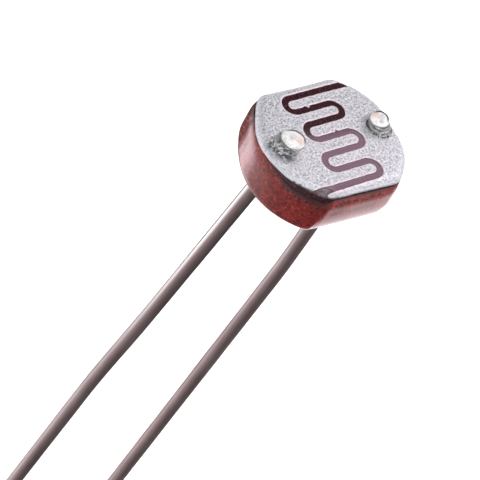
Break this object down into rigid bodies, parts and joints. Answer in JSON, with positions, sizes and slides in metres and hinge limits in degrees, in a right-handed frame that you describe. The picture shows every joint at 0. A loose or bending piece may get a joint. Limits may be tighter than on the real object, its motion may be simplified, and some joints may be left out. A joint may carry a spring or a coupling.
{
  "type": "photoresistor",
  "caption": "Light-dependent resistor: a resin-coated ceramic disc with flat sides, a serpentine sensing track between pale film electrodes, soldered lead ends and long wire leads.",
  "frame": {"origin": "on the flat back of the body, midway between the leads", "axes": "+Z out of the sensing face, +X from the left lead to the right one, +Y across the flats; the leads run down along -Z"},
  "size_m": [0.0056, 0.0055, 0.0303],
  "materials": {
    "resin": "glossy deep red resin with fine dark specks",
    "ceramic": "fired, unglazed",
    "sensing_film": "dark maroon sintered film, faintly glossy",
    "electrode_film": "pale, finely speckled metal film",
    "lead_wire": "tinned wire, satin",
    "solder": "bright, slightly uneven"
  },
  "bodies": {
    "root": {"sealing_coat": "resin", "ceramic_base": "ceramic", "photo_layer": "sensing_film", "electrode_left": "electrode_film", "electrode_right": "electrode_film", "lead_left": "lead_wire", "lead_right": "lead_wire", "solder_cap_left": "solder", "solder_cap_right": "solder"}
  },
  "joints": []
}
